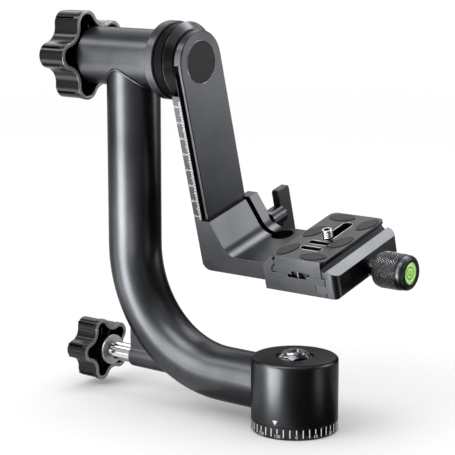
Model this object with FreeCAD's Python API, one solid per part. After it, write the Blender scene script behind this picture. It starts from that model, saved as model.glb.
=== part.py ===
import FreeCAD, Part
import math
import os

# Side-mount gimbal tripod head, millimetres.
# The origin is the centre of the base's underside, where the tripod screw enters, and Z is the pan axis.
# The tilt axis runs along X: the star knob is on the -X side and the camera cradle on the +X side.
# Pieces of the swinging assembly are drawn hanging straight down about the tilt axis, with the plate
# along Y, and are then turned together to the angle at which the head is shown.

# Clearances
running_gap = 0.05
seat_gap = 0.02
sliding_gap = 0.1
jaw_gap = 0.3

# Pan base
base_radius = 25.4
base_plate_height = 6.9
base_edge_chamfer = 0.8
pan_seam_gap = 0.3
housing_height = 36.3
housing_edge_radius = 2.2
housing_recess_radius = 10.6
housing_recess_depth = 1.4
thrust_washer_radius = 20.0
thrust_washer_thickness = 1.0

# Pan spindle and the tripod thread in its foot
spindle_radius = 9.0
spindle_flange_radius = 14.0
spindle_flange_height = 3.0
spindle_stud_radius = 5.0
spindle_stud_length = 3.4
tripod_thread_radius = 4.7625
tripod_thread_depth = 12.0
base_screw_count = 3
base_screw_circle = 11.1
base_screw_radius = 1.5
base_screw_head_radius = 2.7
base_screw_head_height = 1.4
base_screw_length = 6.0

# Nut and washer on top of the spindle
pan_washer_radius = 10.2
pan_washer_thickness = 0.8
nut_across_flats = 17.0
nut_hex_height = 2.3
nut_collar_radius = 6.7
nut_collar_height = 1.2
nut_opening_radius = 3.3

# Bronze bushes
bush_wall = 2.0
tilt_bush_length = 18.0

# Bent tube arm
tube_axis_x = -123.6
tube_axis_z = 23.7
tube_radius = 16.4
tube_wall = 4.4
bend_radius = 71.1

# Tilt axis, barrel and shaft
tilt_axis_z = 209.4
rest_tilt_angle = 15.0
barrel_end_x = -155.0
barrel_radius = 17.65
barrel_edge_chamfer = 0.8
collar_radius = 23.5
collar_width = 6.2
collar_chamfer = 0.7
friction_ring_radius = 22.3
friction_ring_width = 6.4
hub_neck_radius = 20.3
hub_neck_width = 1.0
hub_radius = 23.4
hub_front_radius = 19.6
hub_width = 5.1
hub_chamfer = 0.9
tilt_shaft_radius = 8.0
tilt_stud_radius = 5.0
tilt_stud_length = 17.0
tilt_washer_radius = 11.0
tilt_washer_thickness = 1.1

# Swing arm, a rail of T section that the cradle slides on
arm_face_x = -70.0
arm_thickness = 11.0
arm_head_thickness = 5.5
arm_half_width = 18.6
arm_length = 124.5
rail_back_thickness = 5.8
rail_groove_width = 3.3
rail_groove_depth = 4.5
rail_groove_runout = 25.0
rail_groove_start = 10.3
rail_back_start = 24.2
arm_edge_chamfer = 0.5

# Plain disc that covers the hub screws
cap_radius = 12.6
cap_thickness = 1.5
hub_screw_count = 3
hub_screw_circle = 6.6
hub_screw_radius = 2.0
hub_screw_length = 8.0
hub_screw_head_radius = 3.9
hub_screw_head_height = 1.9

# Cradle bracket
bracket_rise = 21.5
bracket_foot_thickness = 11.1
bracket_foot_cover = 0.7
bracket_back_inset = 3.0
bracket_front_wall = 3.0
bracket_slope_angle = 25.0
bracket_fillet = 11.0
bracket_back_radius = 5.0
bracket_near_wall = 2.9
bracket_ear = 8.0
bracket_slit_start = 14.9
bracket_hole_radius = 6.9
bracket_hole_setback = 22.5
bracket_tongue_length = 19.0
bracket_tongue_height = 6.0

# Wing screw through the ear
wing_setback = 4.0
wing_rise = 2.0
wing_screw_radius = 3.0
wing_screw_length = 24.0
wing_washer_radius = 6.4
wing_washer_thickness = 0.8
wing_barrel_radius = 6.0
wing_barrel_length = 10.5
wing_paddle_thickness = 5.1
wing_paddle_width = 12.2
wing_paddle_length = 31.8
wing_corner_radius = 2.0

# Quick-release plate, whose top is a drop below the tilt axis: the whole cradle takes its place from it
plate_x = 3.5
plate_top_drop = 103.0
plate_length = 64.6
plate_height = 10.4
plate_flange_half_width = 18.7
plate_flange_height = 1.8
plate_neck_half_width = 15.9
dovetail_half_width = 19.0
dovetail_edge_height = 2.5
plate_corner_radius = 4.0
end_cap_length = 2.8
end_cap_setback = 0.6
long_slot_offset = 1.3
long_slot_start = -5.0
long_slot_end = 21.0
long_slot_width = 6.7
strap_slot_length = 14.5
strap_slot_width = 4.3
strap_slot_places = (-8.9, -17.0)
underside_groove_width = 12.4
underside_groove_depth = 2.0
screw_pocket_depth = 6.2

# Leaf-shaped rubber pads, each with its place on the plate and its turn in degrees
pad_length = 18.5
pad_width = 9.2
pad_tip_radius = 2.5
pad_thickness = 1.2
pad_proud = 0.35
pad_places = ((13.2, 21.6, 75.0), (12.7, -4.4, 75.0), (7.8, -26.3, 8.0))

# Camera screw, a quarter-inch thread that a snap ring keeps in the slot
camera_thread_radius = 3.175
camera_thread_length = 5.6
camera_shank_radius = 2.6
camera_shank_rise = 0.5
camera_head_radius = 5.8
camera_head_height = 3.6
camera_clip_thickness = 0.6
camera_socket_flats = 4.0
camera_socket_depth = 3.0

# Clamp base and its two jaws
clamp_length = 64.4
clamp_floor_gap = 0.2
clamp_floor_thickness = 11.6
clamp_right_setback = 0.9
fixed_jaw_thickness = 6.2
fixed_jaw_step = 1.9
fixed_jaw_bevel = 5.0
movable_jaw_thickness = 7.2
movable_jaw_step = 0.2
jaw_strip_width = 6.4
jaw_strip_fall = 3.2
jaw_bottom_chamfer = 1.5
jaw_corner_radius = 5.0
tongue_depth = 7.2
tongue_height = 4.2
tongue_cover = 4.7
stop_pin_radius = 0.9
stop_pin_offset = 1.5
stop_pin_inset = 1.9
stop_notch_width = 12.6
stop_notch_length = 3.6
stop_notch_depth = 1.8
clamp_screw_count = 3
clamp_screw_spacing = 14.0
clamp_screw_radius = 2.0
clamp_screw_length = 9.0
clamp_screw_head_radius = 3.9
clamp_screw_head_height = 2.2

# Clamp knob with a bubble level in its end
clamp_axis_height = 6.6
clamp_spindle_radius = 3.0
clamp_spindle_depth = 27.0
clamp_collar_radius = 5.0
clamp_collar_length = 7.0
clamp_knob_radius = 10.2
clamp_knob_length = 21.2
clamp_knob_edge = 1.2
clamp_knob_groove = 0.5
level_radius = 6.4
level_depth = 3.4
level_bezel_radius = 8.6
level_bezel_height = 1.0
level_bezel_proud = 0.5

# Star knobs
star_lobes = 5
star_wall = 2.0
star_back = 3.0
star_rim_width = 2.6
star_rim_step = 0.5
star_back_edge = 2.0
star_rib_thickness = 1.1
star_rib_setback = 4.5
star_rib_spread = 17.0
star_first_lobe = 180.0
tilt_knob_radius = 28.5
tilt_knob_lobe = 8.5
tilt_knob_valley = 9.0
tilt_knob_depth = 22.0
tilt_knob_hub = 11.0
tilt_insert_radius = 7.5
tilt_insert_length = 14.0
pan_knob_radius = 20.3
pan_knob_lobe = 6.1
pan_knob_valley = 6.5
pan_knob_depth = 18.0
pan_knob_hub = 8.2

# Pan lock: boss on the outside of the bend, screw, washer and push rod
boss_end_x = -124.0
boss_radius = 7.2
boss_web_thickness = 10.0
boss_web_height = 19.0
pan_screw_radius = 5.8
pan_screw_end_x = -106.0
pan_screw_shoulder_x = -139.5
pan_thread_radius = 4.0
pan_washer_x = -144.6
pan_lock_washer_radius = 9.4
pan_lock_washer_thickness = 1.2
brake_rod_radius = 4.0
brake_pad_length = 5.0

# Heights worked out from the sizes above
housing_bottom = base_plate_height + pan_seam_gap
housing_top = housing_bottom + housing_height
bush_bottom = base_plate_height + thrust_washer_thickness + running_gap
recess_floor = housing_top - housing_recess_depth
spindle_shoulder = recess_floor + running_gap
nut_bottom = spindle_shoulder + pan_washer_thickness
pan_bush_radius = spindle_radius + running_gap + bush_wall
tilt_bush_radius = tilt_shaft_radius + running_gap + bush_wall

# Places along the tilt axis, from the arm's front face back to the barrel
arm_back_x = arm_face_x - arm_thickness
head_back_x = arm_face_x - arm_head_thickness
hub_front_x = head_back_x - seat_gap
hub_back_x = hub_front_x - hub_width
hub_neck_x = hub_back_x - hub_neck_width
ring_front_x = hub_neck_x - running_gap
ring_back_x = ring_front_x - friction_ring_width
collar_face_x = ring_back_x - seat_gap
collar_back_x = collar_face_x - collar_width
tilt_washer_x = barrel_end_x - running_gap
tilt_hub_face_x = tilt_washer_x - tilt_washer_thickness - seat_gap

# Plate and clamp, as drops below the tilt axis and places along X
plate_bottom_drop = plate_top_drop + plate_height
dovetail_edge_drop = plate_bottom_drop - dovetail_edge_height
dovetail_top_drop = dovetail_edge_drop - (dovetail_half_width - plate_neck_half_width)
clamp_floor_drop = plate_bottom_drop + clamp_floor_gap
clamp_bottom_drop = clamp_floor_drop + clamp_floor_thickness
clamp_axis_drop = clamp_bottom_drop - clamp_axis_height
tongue_top_drop = clamp_floor_drop + tongue_cover
fixed_jaw_top_drop = plate_top_drop + fixed_jaw_step
jaw_top_drop = dovetail_top_drop + movable_jaw_step
clamp_left_x = plate_x - dovetail_half_width - jaw_gap - fixed_jaw_thickness
clamp_right_x = plate_x + dovetail_half_width - clamp_right_setback
jaw_inner_x = clamp_right_x + jaw_gap
jaw_outer_x = plate_x + dovetail_half_width + jaw_gap + movable_jaw_thickness
stop_pin_x = plate_x - stop_pin_offset
clamp_knob_x = jaw_outer_x + running_gap + clamp_collar_length

# Camera screw and its slot
slot_x = plate_x + long_slot_offset
slot_middle_y = (long_slot_start + long_slot_end) / 2
camera_screw_y = long_slot_start + long_slot_width / 2
camera_pocket_drop = plate_bottom_drop - screw_pocket_depth
camera_head_drop = camera_pocket_drop + camera_clip_thickness + 2 * running_gap

# Rail and bracket
bracket_bottom_drop = clamp_bottom_drop + bracket_foot_cover
bracket_foot_drop = bracket_bottom_drop - bracket_foot_thickness
bracket_top_drop = bracket_foot_drop - bracket_rise
bracket_back_x = arm_back_x + bracket_back_inset
bracket_front_x = arm_face_x + bracket_front_wall
bracket_hole_x = clamp_left_x - bracket_hole_setback
rail_groove_back_x = arm_back_x + rail_back_thickness
rail_groove_front_x = rail_groove_back_x + rail_groove_width
arm_pocket_half = arm_half_width + sliding_gap
bracket_near_y = -(arm_pocket_half + bracket_near_wall)
bracket_slit_end = arm_pocket_half - sliding_gap
bracket_far_y = bracket_slit_end + bracket_ear
bracket_hole_y = (bracket_slit_start + bracket_slit_end) / 2
wing_x = bracket_front_x + wing_setback
wing_drop = bracket_foot_drop - wing_rise
wing_washer_y = bracket_far_y + running_gap
wing_barrel_y = wing_washer_y + wing_washer_thickness + seat_gap
wing_paddle_y = wing_barrel_y + wing_barrel_length


def vec(x, y, z):
    return FreeCAD.Vector(x, y, z)


def block(x0, x1, y0, y1, z0, z1):
    return Part.makeBox(x1 - x0, y1 - y0, z1 - z0, vec(x0, y0, z0))


def rod_x(radius, x0, x1, y=0.0, z=0.0):
    return Part.makeCylinder(radius, x1 - x0, vec(x0, y, z), vec(1, 0, 0))


def rod_y(radius, y0, y1, x=0.0, z=0.0):
    return Part.makeCylinder(radius, y1 - y0, vec(x, y0, z), vec(0, 1, 0))


def rod_z(radius, z0, z1, x=0.0, y=0.0):
    return Part.makeCylinder(radius, z1 - z0, vec(x, y, z0), vec(0, 0, 1))


def cone_x(radius0, radius1, x0, x1, y=0.0, z=0.0):
    return Part.makeCone(radius0, radius1, x1 - x0, vec(x0, y, z), vec(1, 0, 0))


def cone_z(radius0, radius1, z0, z1, x=0.0, y=0.0):
    return Part.makeCone(radius0, radius1, z1 - z0, vec(x, y, z0), vec(0, 0, 1))


def turned_x(profile):
    """Solid of revolution about X from (x, radius) corners."""
    corners = [vec(x, 0, radius) for x, radius in profile]
    wire = Part.makePolygon(corners + [corners[0]])
    return Part.Face(wire).revolve(vec(0, 0, 0), vec(1, 0, 0), 360)


def turned_z(profile):
    """Solid of revolution about Z from (radius, z) corners."""
    corners = [vec(radius, 0, z) for radius, z in profile]
    wire = Part.makePolygon(corners + [corners[0]])
    return Part.Face(wire).revolve(vec(0, 0, 0), vec(0, 0, 1), 360)


def prism_y(outline, y0, y1):
    """Straight bar along Y from (x, drop) corners."""
    corners = [vec(x, y0, -drop) for x, drop in outline]
    wire = Part.makePolygon(corners + [corners[0]])
    return Part.Face(wire).extrude(vec(0, y1 - y0, 0))


def slot_z(length, width, z0, z1, x, y, along_y):
    """Round-ended slot cutter centred at x, y."""
    reach = (length - width) / 2
    if along_y:
        ends = ((x, y - reach), (x, y + reach))
        middle = block(x - width / 2, x + width / 2, y - reach, y + reach, z0, z1)
    else:
        ends = ((x - reach, y), (x + reach, y))
        middle = block(x - reach, x + reach, y - width / 2, y + width / 2, z0, z1)
    return middle.fuse([rod_z(width / 2, z0, z1, cx, cy) for cx, cy in ends])


def hexagon_z(across_flats, z0, z1, x=0.0, y=0.0):
    corner = across_flats / 2 / math.cos(math.pi / 6)
    points = []
    for step in range(7):
        angle = math.radians(60 * step)
        points.append(vec(x + corner * math.cos(angle), y + corner * math.sin(angle), z0))
    return Part.Face(Part.makePolygon(points)).extrude(vec(0, 0, z1 - z0))


def countersunk_z(radius, length, head_radius, head_height, x, y, z, gap=0.0):
    """Countersunk screw along Z whose flat head is at z and whose shank rises from it."""
    head = cone_z(head_radius + gap, radius + gap, z, z + head_height, x, y)
    return head.fuse(rod_z(radius + gap, z, z + length + gap, x, y))


def fillet_edges(shape, radius, wanted):
    """Round the edges that the wanted function picks."""
    picked = [edge for edge in shape.Edges if wanted(edge)]
    return shape.makeFillet(radius, picked)


def placed_on_swing(shape):
    """Turn a piece of the swinging assembly to its rest angle and lift it to the tilt axis."""
    turned = shape.copy()
    turned.rotate(vec(0, 0, 0), vec(1, 0, 0), rest_tilt_angle)
    turned.translate(vec(0, 0, tilt_axis_z))
    return turned


# Pan base

def base_plate():
    plate = rod_z(base_radius, 0, base_plate_height)
    plate = plate.makeChamfer(base_edge_chamfer, [plate.Edges[2]])
    recess = rod_z(spindle_flange_radius + seat_gap, -1, spindle_flange_height + seat_gap)
    bore = rod_z(spindle_radius + seat_gap, -1, base_plate_height + 1)
    plate = plate.cut(recess.fuse(bore))
    return plate.cut(base_screw_set(seat_gap))


def base_screw_set(gap=0.0):
    screws = []
    for index in range(base_screw_count):
        angle = 2 * math.pi * index / base_screw_count
        x = base_screw_circle * math.cos(angle)
        y = base_screw_circle * math.sin(angle)
        screw = countersunk_z(base_screw_radius, base_screw_length, base_screw_head_radius,
                              base_screw_head_height, x, y, 0, gap)
        screws.append(screw)
    return Part.makeCompound(screws)


def pan_spindle():
    profile = [
        (0, 0),
        (spindle_flange_radius, 0),
        (spindle_flange_radius, spindle_flange_height),
        (spindle_radius, spindle_flange_height),
        (spindle_radius, spindle_shoulder),
        (spindle_stud_radius, spindle_shoulder),
        (spindle_stud_radius, spindle_shoulder + spindle_stud_length),
        (0, spindle_shoulder + spindle_stud_length),
    ]
    spindle = turned_z(profile)
    spindle = spindle.cut(rod_z(tripod_thread_radius, -1, tripod_thread_depth))
    return spindle.cut(base_screw_set(seat_gap))


def thrust_washer():
    ring = rod_z(thrust_washer_radius, base_plate_height, base_plate_height + thrust_washer_thickness)
    return ring.cut(rod_z(spindle_radius + running_gap, 0, housing_top))


def pan_washer():
    ring = rod_z(pan_washer_radius, spindle_shoulder, nut_bottom)
    return ring.cut(rod_z(spindle_stud_radius + seat_gap, 0, housing_top + 10))


def pan_nut():
    hex_top = nut_bottom + nut_hex_height
    collar_top = hex_top + nut_collar_height
    body = hexagon_z(nut_across_flats, nut_bottom, hex_top)
    corner = nut_across_flats / 2 / math.cos(math.pi / 6)
    crown = cone_z(corner + 0.4, nut_collar_radius + 0.5, nut_bottom, hex_top)
    body = body.common(crown)
    collar = rod_z(nut_collar_radius, hex_top - 0.5, collar_top)
    collar = collar.makeChamfer(nut_collar_height / 2, [collar.Edges[0]])
    nut = body.fuse(collar)
    thread = rod_z(spindle_stud_radius + seat_gap, nut_bottom - 1, spindle_shoulder + spindle_stud_length + seat_gap)
    opening = rod_z(nut_opening_radius, nut_bottom, collar_top + 1)
    return nut.cut(thread.fuse(opening)).removeSplitter()


# Body that turns on the pan base

def rod_bore(gap):
    """Cutter for the push rod, from the lock boss to the spindle."""
    return rod_x(brake_rod_radius + gap, boss_end_x, 0, 0, tube_axis_z)


def pan_housing():
    housing = rod_z(base_radius, housing_bottom, housing_top)
    top_edge = [edge for edge in housing.Edges if edge.BoundBox.ZMin > housing_top - 0.01]
    housing = housing.makeFillet(housing_edge_radius, top_edge)
    bore = rod_z(pan_bush_radius + seat_gap, housing_bottom - 1, housing_top + 1)
    under = rod_z(thrust_washer_radius + running_gap, housing_bottom - 1, bush_bottom)
    over = rod_z(housing_recess_radius, recess_floor, housing_top + 1)
    return housing.cut(bore.fuse([under, over, rod_bore(2 * running_gap)]))


def pan_bush():
    sleeve = rod_z(pan_bush_radius, bush_bottom, recess_floor)
    sleeve = sleeve.cut(rod_z(spindle_radius + running_gap, 0, housing_top))
    return sleeve.cut(rod_bore(2 * running_gap))


def tube_along_path(radius):
    """Round bar along the arm's centre line: down from the barrel, round the bend, in to the base."""
    bend_top = tube_axis_z + bend_radius
    bend_end = tube_axis_x + bend_radius
    down = rod_z(radius, bend_top, tilt_axis_z, tube_axis_x, 0)
    across = rod_x(radius, bend_end, 0, 0, tube_axis_z)
    circle = Part.Wire(Part.makeCircle(radius, vec(tube_axis_x, 0, bend_top), vec(0, 0, 1)))
    centre = vec(bend_end, 0, bend_top)
    bend = Part.Face(circle).revolve(centre, vec(0, -1, 0), 90)
    return down.fuse([bend, across])


def arm_tube():
    outside = tube_along_path(tube_radius)
    inside = tube_along_path(tube_radius - tube_wall)
    tube = outside.cut(inside)
    tube = tube.cut(rod_x(barrel_radius + seat_gap, barrel_end_x - 10, arm_face_x, 0, tilt_axis_z))
    tube = tube.cut(rod_z(base_radius + seat_gap, -1, housing_top + 5))
    screw_hole = rod_x(pan_screw_radius + running_gap, boss_end_x, tube_axis_x + bend_radius / 2, 0, tube_axis_z)
    return tube.cut(screw_hole)


def pan_lock_boss():
    """Round boss with a web above it, both shaped to the outside of the bend."""
    boss = rod_x(boss_radius, boss_end_x, tube_axis_x + bend_radius, 0, tube_axis_z)
    half = boss_web_thickness / 2
    web_end = tube_axis_x + bend_radius / 2
    web = block(boss_end_x, web_end, -half, half, tube_axis_z, tube_axis_z + boss_radius + boss_web_height)
    body = boss.fuse(web).removeSplitter()
    body = body.cut(tube_along_path(tube_radius + seat_gap))
    outer = [solid for solid in body.Solids if solid.BoundBox.XMin < boss_end_x + 0.1]
    screw_hole = rod_x(pan_screw_radius + running_gap, boss_end_x - 1, tube_axis_x + bend_radius, 0, tube_axis_z)
    return outer[0].cut(screw_hole)


def tilt_barrel():
    profile = [
        (barrel_end_x, 0),
        (barrel_end_x, barrel_radius - barrel_edge_chamfer),
        (barrel_end_x + barrel_edge_chamfer, barrel_radius),
        (collar_back_x, barrel_radius),
        (collar_back_x, collar_radius - 0.3),
        (collar_back_x + 0.3, collar_radius),
        (collar_face_x - collar_chamfer, collar_radius),
        (collar_face_x, collar_radius - collar_chamfer),
        (collar_face_x, 0),
    ]
    barrel = turned_x(profile)
    barrel = barrel.cut(rod_x(tilt_bush_radius + seat_gap, barrel_end_x - 1, collar_face_x + 1))
    barrel.translate(vec(0, 0, tilt_axis_z))
    return barrel


def tilt_bush(start_x):
    sleeve = rod_x(tilt_bush_radius, start_x, start_x + tilt_bush_length, 0, tilt_axis_z)
    bore = rod_x(tilt_shaft_radius + running_gap, start_x - 1, start_x + tilt_bush_length + 1, 0, tilt_axis_z)
    return sleeve.cut(bore)


def friction_ring():
    ring = rod_x(friction_ring_radius, ring_back_x, ring_front_x, 0, tilt_axis_z)
    ring = ring.makeChamfer(0.4, [edge for edge in ring.Edges if edge.Length > friction_ring_radius])
    return ring.cut(rod_x(tilt_shaft_radius + 2 * running_gap, ring_back_x - 1, ring_front_x + 1, 0, tilt_axis_z))


# Pan lock

def pan_brake_rod():
    return rod_x(brake_rod_radius, pan_screw_end_x + seat_gap, -spindle_radius - brake_pad_length, 0, tube_axis_z)


def pan_brake_pad():
    pad = rod_x(brake_rod_radius, -spindle_radius - brake_pad_length + seat_gap, 0, 0, tube_axis_z)
    return pad.cut(rod_z(spindle_radius + running_gap, 0, housing_top))


def pan_lock_screw():
    thread_end = pan_washer_x - pan_knob_depth / 2
    body = rod_x(pan_screw_radius, pan_screw_shoulder_x, pan_screw_end_x, 0, tube_axis_z)
    thread = rod_x(pan_thread_radius, thread_end, pan_screw_shoulder_x, 0, tube_axis_z)
    return body.fuse(thread).removeSplitter()


def pan_lock_washer():
    washer_end = pan_washer_x + pan_lock_washer_thickness
    washer = rod_x(pan_lock_washer_radius, pan_washer_x, washer_end, 0, tube_axis_z)
    return washer.cut(rod_x(pan_thread_radius + seat_gap, pan_washer_x - 1, washer_end + 1, 0, tube_axis_z))


# Star knobs

def star_outline(radius, lobe, valley, inset, x):
    """Closed outline of rounded lobes joined by hollow valleys, moved inwards by the inset."""
    half_pitch = math.pi / star_lobes
    lobe_place = radius - lobe
    reach = lobe + valley
    valley_place = lobe_place * math.cos(half_pitch)
    valley_place += math.sqrt(reach ** 2 - (lobe_place * math.sin(half_pitch)) ** 2)
    lobe_radius = lobe - inset
    valley_radius = valley + inset
    first = math.radians(star_first_lobe)

    def at(distance, angle):
        return vec(x, distance * math.cos(angle), distance * math.sin(angle))

    def join(angle, side):
        centre = at(lobe_place, angle)
        other = at(valley_place, angle + side * half_pitch)
        return centre + (other - centre) * (lobe_radius / reach)

    edges = []
    for index in range(star_lobes):
        angle = first + 2 * half_pitch * index
        crest = at(lobe_place + lobe_radius, angle)
        edges.append(Part.Arc(join(angle, -1), crest, join(angle, 1)).toShape())
        dip = at(valley_place - valley_radius, angle + half_pitch)
        edges.append(Part.Arc(join(angle, 1), dip, join(angle + 2 * half_pitch, -1)).toShape())
    return Part.Face(Part.Wire(edges))


def star_knob(rim_x, hub_face_x, z, radius, lobe, valley, depth, hub_radius_, bore_radius, bore_depth):
    """Hollow star knob, open towards +X, with ribs from its hub to its wall."""
    back_x = rim_x - depth
    body = star_outline(radius, lobe, valley, star_rim_step, back_x).extrude(vec(depth, 0, 0))
    body = body.makeChamfer(star_back_edge, [edge for edge in body.Edges if edge.BoundBox.XMax < back_x + 0.01])
    rim = star_outline(radius, lobe, valley, 0, rim_x - star_rim_width).extrude(vec(star_rim_width, 0, 0))
    knob = body.fuse(rim)
    pocket = star_outline(radius, lobe, valley, star_wall + star_rim_step, back_x + star_back)
    knob = knob.cut(pocket.extrude(vec(depth, 0, 0)))
    hub = rod_x(hub_radius_, back_x + star_back / 2, hub_face_x)
    ribs = []
    for index in range(star_lobes):
        for side in (-1, 1):
            rib = block(back_x + star_back / 2, rim_x - star_rib_setback, hub_radius_ / 2, radius,
                        -star_rib_thickness / 2, star_rib_thickness / 2)
            rib_angle = star_first_lobe + 360 / star_lobes * index + side * star_rib_spread
            rib.rotate(vec(0, 0, 0), vec(1, 0, 0), rib_angle)
            ribs.append(rib)
    limit = star_outline(radius, lobe, valley, star_wall / 2 + star_rim_step, back_x + star_back / 2)
    limit = limit.extrude(vec(depth, 0, 0))
    inner = ribs[0].multiFuse(ribs[1:]).common(limit)
    knob = knob.fuse([inner, hub])
    knob = knob.cut(rod_x(bore_radius, hub_face_x - bore_depth, hub_face_x + 1))
    knob.translate(vec(0, 0, z))
    return knob


def tilt_knob():
    return star_knob(barrel_end_x - 1, tilt_hub_face_x, tilt_axis_z, tilt_knob_radius, tilt_knob_lobe,
                     tilt_knob_valley, tilt_knob_depth, tilt_knob_hub,
                     tilt_insert_radius + seat_gap, tilt_insert_length + 2)


def tilt_knob_insert():
    insert = rod_x(tilt_insert_radius, tilt_hub_face_x - tilt_insert_length, tilt_hub_face_x, 0, tilt_axis_z)
    bore = rod_x(tilt_stud_radius + running_gap, tilt_hub_face_x - tilt_insert_length - 1,
                 tilt_hub_face_x + 1, 0, tilt_axis_z)
    return insert.cut(bore)


def tilt_thrust_washer():
    washer = rod_x(tilt_washer_radius, tilt_washer_x - tilt_washer_thickness, tilt_washer_x, 0, tilt_axis_z)
    bore = rod_x(tilt_stud_radius + running_gap, tilt_washer_x - 5, tilt_washer_x + 5, 0, tilt_axis_z)
    return washer.cut(bore)


def pan_knob():
    rim_x = pan_washer_x - 3.9
    return star_knob(rim_x, pan_washer_x - seat_gap, tube_axis_z, pan_knob_radius, pan_knob_lobe,
                     pan_knob_valley, pan_knob_depth, pan_knob_hub,
                     pan_thread_radius + seat_gap, pan_knob_depth / 2 + seat_gap)


# Swinging assembly, drawn hanging straight down

def hub_screw_set(gap=0.0):
    screws = []
    face_x = arm_face_x - cap_thickness - seat_gap
    for index in range(hub_screw_count):
        angle = 2 * math.pi * index / hub_screw_count + math.pi / 2
        y = hub_screw_circle * math.cos(angle)
        z = hub_screw_circle * math.sin(angle)
        head = cone_x(hub_screw_radius + gap, hub_screw_head_radius + gap, face_x - hub_screw_head_height,
                      face_x, y, z)
        shank = rod_x(hub_screw_radius + gap, face_x - hub_screw_length - gap, face_x, y, z)
        screws.append(head.fuse(shank))
    return Part.makeCompound(screws)


def tilt_shaft():
    stud_end = barrel_end_x - tilt_stud_length
    profile = [
        (stud_end, 0),
        (stud_end, tilt_stud_radius),
        (barrel_end_x + 1, tilt_stud_radius),
        (barrel_end_x + 1, tilt_shaft_radius),
        (hub_neck_x + 1, tilt_shaft_radius),
        (hub_neck_x + 1, 0),
    ]
    return turned_x(profile)


def tilt_hub():
    """Flange that carries the arm: a neck behind and a cone that narrows to the arm's round head."""
    profile = [
        (hub_neck_x, 0),
        (hub_neck_x, hub_neck_radius),
        (hub_back_x, hub_neck_radius),
        (hub_back_x, hub_radius - hub_chamfer),
        (hub_back_x + hub_chamfer, hub_radius),
        (hub_front_x, hub_front_radius),
        (hub_front_x, 0),
    ]
    hub = turned_x(profile)
    hub = hub.cut(rod_x(tilt_shaft_radius + seat_gap, hub_neck_x - 1, hub_neck_x + 1 + seat_gap))
    return hub.cut(hub_screw_set(seat_gap))


def rail_groove(side):
    """Side groove of the rail; its upper end runs out along the arc of a round cutter."""
    floor_y = arm_half_width - rail_groove_depth
    straight = block(rail_groove_back_x, rail_groove_front_x, floor_y, arm_half_width + 5,
                     -arm_length - 5, -rail_groove_start)
    cutter = rod_x(rail_groove_runout, rail_groove_back_x, rail_groove_front_x,
                   floor_y + rail_groove_runout, -rail_groove_start)
    groove = straight.fuse(cutter)
    if side < 0:
        groove = groove.mirror(vec(0, 0, 0), vec(0, 1, 0))
    return groove


def swing_arm():
    outline = block(arm_back_x, arm_face_x, -arm_half_width, arm_half_width, -arm_length, 0)
    arm = outline.fuse(rod_x(arm_half_width, arm_back_x, arm_face_x)).removeSplitter()
    front_edges = [edge for edge in arm.Edges if edge.BoundBox.XMin > arm_face_x - 0.01]
    arm = arm.makeChamfer(arm_edge_chamfer, front_edges)
    relief = rod_x(rail_back_start, arm_back_x - 1, head_back_x)
    arm = arm.cut(relief)
    for side in (-1, 1):
        arm = arm.cut(rail_groove(side))
    cap_seat = rod_x(cap_radius + seat_gap, arm_face_x - cap_thickness - seat_gap, arm_face_x + 1)
    return arm.cut(cap_seat).cut(hub_screw_set(seat_gap))


def hub_cap():
    cap = rod_x(cap_radius, arm_face_x - cap_thickness, arm_face_x)
    front = [edge for edge in cap.Edges if edge.BoundBox.XMin > arm_face_x - 0.01]
    return cap.makeChamfer(0.3, front)


def bracket_profile():
    """Side outline of the bracket: upright, sloping front, fillet and foot."""
    slope = math.radians(bracket_slope_angle)
    rise = bracket_foot_drop - bracket_top_drop
    foot_x = bracket_front_x + rise * math.tan(slope)
    tangent = bracket_fillet * math.tan((math.pi / 2 - slope) / 2)
    start = vec(foot_x - tangent * math.sin(slope), 0, -(bracket_foot_drop - tangent * math.cos(slope)))
    end = vec(foot_x + tangent, 0, -bracket_foot_drop)
    centre = vec(end.x, 0, end.z + bracket_fillet)
    middle_turn = math.radians(270) - (math.pi / 2 - slope) / 2
    middle = centre + vec(bracket_fillet * math.cos(middle_turn), 0, bracket_fillet * math.sin(middle_turn))
    top_front = vec(bracket_front_x, 0, -bracket_top_drop)
    top_back = vec(bracket_back_x, 0, -bracket_top_drop)
    low_back = vec(bracket_back_x, 0, -bracket_bottom_drop)
    low_front = vec(clamp_left_x, 0, -bracket_bottom_drop)
    foot_front = vec(clamp_left_x, 0, -bracket_foot_drop)
    edges = [
        Part.makeLine(top_front, start),
        Part.Arc(start, middle, end).toShape(),
        Part.makeLine(end, foot_front),
        Part.makeLine(foot_front, low_front),
        Part.makeLine(low_front, low_back),
        Part.makeLine(low_back, top_back),
        Part.makeLine(top_back, top_front),
    ]
    return Part.Face(Part.Wire(edges))


def clamp_tongue(gap):
    """Tongue of the foot under the clamp base, or its pocket when a gap is given."""
    top = -(bracket_bottom_drop - bracket_tongue_height) + gap
    return block(clamp_left_x - 1, clamp_left_x + bracket_tongue_length + gap, bracket_near_y - gap,
                 bracket_far_y + gap, -bracket_bottom_drop - 5 * gap, top)


def clamp_screw_set(gap=0.0):
    screws = []
    for index in range(clamp_screw_count):
        y = clamp_screw_spacing * (index - (clamp_screw_count - 1) / 2)
        x = clamp_left_x + bracket_tongue_length / 2
        screws.append(countersunk_z(clamp_screw_radius, clamp_screw_length, clamp_screw_head_radius,
                                    clamp_screw_head_height, x, y, -bracket_bottom_drop, gap))
    return Part.makeCompound(screws)


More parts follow.
